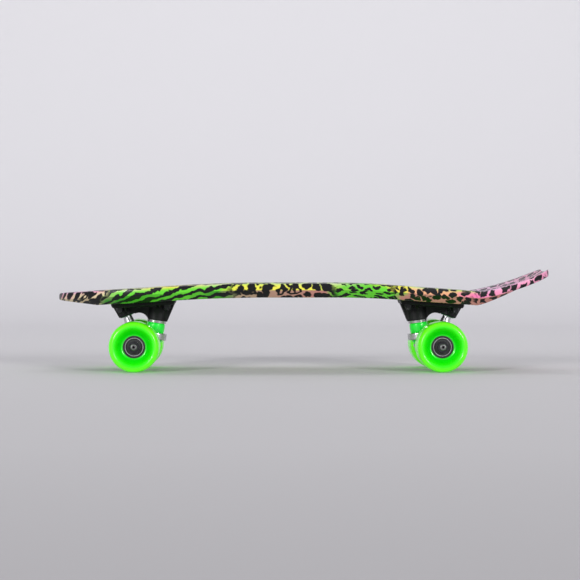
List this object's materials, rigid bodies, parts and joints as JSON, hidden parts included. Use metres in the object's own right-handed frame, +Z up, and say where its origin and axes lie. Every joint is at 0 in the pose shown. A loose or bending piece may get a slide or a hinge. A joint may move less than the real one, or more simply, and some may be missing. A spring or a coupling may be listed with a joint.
{
  "type": "skateboard",
  "caption": "Mini cruiser skateboard: moulded plastic deck with kicktail, sprung steering trucks and soft urethane wheels on ball bearings",
  "frame": {"origin": "on the ground under the middle of the board's overall length and width", "axes": "+Z up; +X from the nose towards the kicktail; +Y towards the rider's right when the rider faces the nose"},
  "size_m": [0.56, 0.152, 0.1156],
  "materials": {
    "deck_plastic": "glossy moulded polypropylene with a film-transferred animal print: leopard spots and zebra stripes on green, yellow, peach and pink",
    "black_baseplate": "satin black coated casting",
    "cast_aluminium": "tumbled casting, satin, with machined seats",
    "zinc_steel": "bright zinc plate",
    "black_steel": "black oxide steel",
    "axle_steel": "ground steel with a turned end",
    "bearing_steel": "ground and polished bearing steel",
    "green_urethane": "translucent bright green urethane, satin",
    "green_rubber": "dark green rubber",
    "wheel_urethane": "glossy lime green urethane",
    "black_plastic": "black moulded nylon",
    "black_rubber": "black nitrile seal"
  },
  "bodies": {
    "deck": {"deck": "deck_plastic", "deck_screws_front": "black_steel", "deck_nuts_front": "zinc_steel", "deck_screws_rear": "black_steel", "deck_nuts_rear": "zinc_steel", "front_baseplate": "black_baseplate", "front_pivot_cup": "green_rubber", "front_kingpin": "zinc_steel", "front_kingpin_nut": "zinc_steel", "front_upper_washer": "zinc_steel", "front_upper_bushing": "green_urethane", "front_lower_bushing": "green_urethane", "front_lower_washer": "zinc_steel", "rear_baseplate": "black_baseplate", "rear_pivot_cup": "green_rubber", "rear_kingpin": "zinc_steel", "rear_kingpin_nut": "zinc_steel", "rear_upper_washer": "zinc_steel", "rear_upper_bushing": "green_urethane", "rear_lower_bushing": "green_urethane", "rear_lower_washer": "zinc_steel"},
    "front_hanger": {"front_hanger": "cast_aluminium", "front_axle": "axle_steel", "front_axle_nuts": "black_steel", "front_speed_washers": "zinc_steel", "front_inner_races": "bearing_steel", "front_bearing_spacers": "zinc_steel"},
    "rear_hanger": {"rear_hanger": "cast_aluminium", "rear_axle": "axle_steel", "rear_axle_nuts": "black_steel", "rear_speed_washers": "zinc_steel", "rear_inner_races": "bearing_steel", "rear_bearing_spacers": "zinc_steel"},
    "front_left_wheel": {"front_left_tyre": "wheel_urethane", "front_left_core": "black_plastic", "front_left_outer_races": "bearing_steel", "front_left_shields": "black_rubber"},
    "front_left_cages": {"front_left_cages": "bearing_steel"},
    "front_right_wheel": {"front_right_tyre": "wheel_urethane", "front_right_core": "black_plastic", "front_right_outer_races": "bearing_steel", "front_right_shields": "black_rubber"},
    "front_right_cages": {"front_right_cages": "bearing_steel"},
    "rear_left_wheel": {"rear_left_tyre": "wheel_urethane", "rear_left_core": "black_plastic", "rear_left_outer_races": "bearing_steel", "rear_left_shields": "black_rubber"},
    "rear_left_cages": {"rear_left_cages": "bearing_steel"},
    "rear_right_wheel": {"rear_right_tyre": "wheel_urethane", "rear_right_core": "black_plastic", "rear_right_outer_races": "bearing_steel", "rear_right_shields": "black_rubber"},
    "rear_right_cages": {"rear_right_cages": "bearing_steel"}
  },
  "joints": [
    {"name": "front_steer", "type": "hinge", "parent": "deck", "child": "front_hanger", "pos_m": [-0.20423, 0, 0.06952], "axis": [0.7472, 0, -0.6646], "range_deg": [-12, 12], "stiffness_Nm_per_rad": 14, "deforming": ["front_upper_bushing", "front_lower_bushing"]},
    {"name": "rear_steer", "type": "hinge", "parent": "deck", "child": "rear_hanger", "pos_m": [0.17086, 0, 0.06937], "axis": [-0.7541, 0, -0.6567], "range_deg": [-12, 12], "stiffness_Nm_per_rad": 14, "deforming": ["rear_upper_bushing", "rear_lower_bushing"]},
    {"name": "front_left_spin", "type": "hinge", "parent": "front_hanger", "child": "front_left_wheel", "pos_m": [-0.1902, 0, 0.0285], "axis": [0, 1, 0], "continuous": true},
    {"name": "front_left_cage_spin", "type": "hinge", "parent": "front_hanger", "child": "front_left_cages", "pos_m": [-0.1902, 0, 0.0285], "axis": [0, 1, 0], "continuous": true},
    {"name": "front_right_spin", "type": "hinge", "parent": "front_hanger", "child": "front_right_wheel", "pos_m": [-0.1902, 0, 0.0285], "axis": [0, 1, 0], "continuous": true},
    {"name": "front_right_cage_spin", "type": "hinge", "parent": "front_hanger", "child": "front_right_cages", "pos_m": [-0.1902, 0, 0.0285], "axis": [0, 1, 0], "continuous": true},
    {"name": "rear_left_spin", "type": "hinge", "parent": "rear_hanger", "child": "rear_left_wheel", "pos_m": [0.1564, 0, 0.0285], "axis": [0, 1, 0], "continuous": true},
    {"name": "rear_left_cage_spin", "type": "hinge", "parent": "rear_hanger", "child": "rear_left_cages", "pos_m": [0.1564, 0, 0.0285], "axis": [0, 1, 0], "continuous": true},
    {"name": "rear_right_spin", "type": "hinge", "parent": "rear_hanger", "child": "rear_right_wheel", "pos_m": [0.1564, 0, 0.0285], "axis": [0, 1, 0], "continuous": true},
    {"name": "rear_right_cage_spin", "type": "hinge", "parent": "rear_hanger", "child": "rear_right_cages", "pos_m": [0.1564, 0, 0.0285], "axis": [0, 1, 0], "continuous": true}
  ],
  "couplings": [
    {"joint": "front_left_cage_spin", "follows": "front_left_spin", "ratio": 0.6264},
    {"joint": "front_right_cage_spin", "follows": "front_right_spin", "ratio": 0.6264},
    {"joint": "rear_left_cage_spin", "follows": "rear_left_spin", "ratio": 0.6264},
    {"joint": "rear_right_cage_spin", "follows": "rear_right_spin", "ratio": 0.6264}
  ]
}
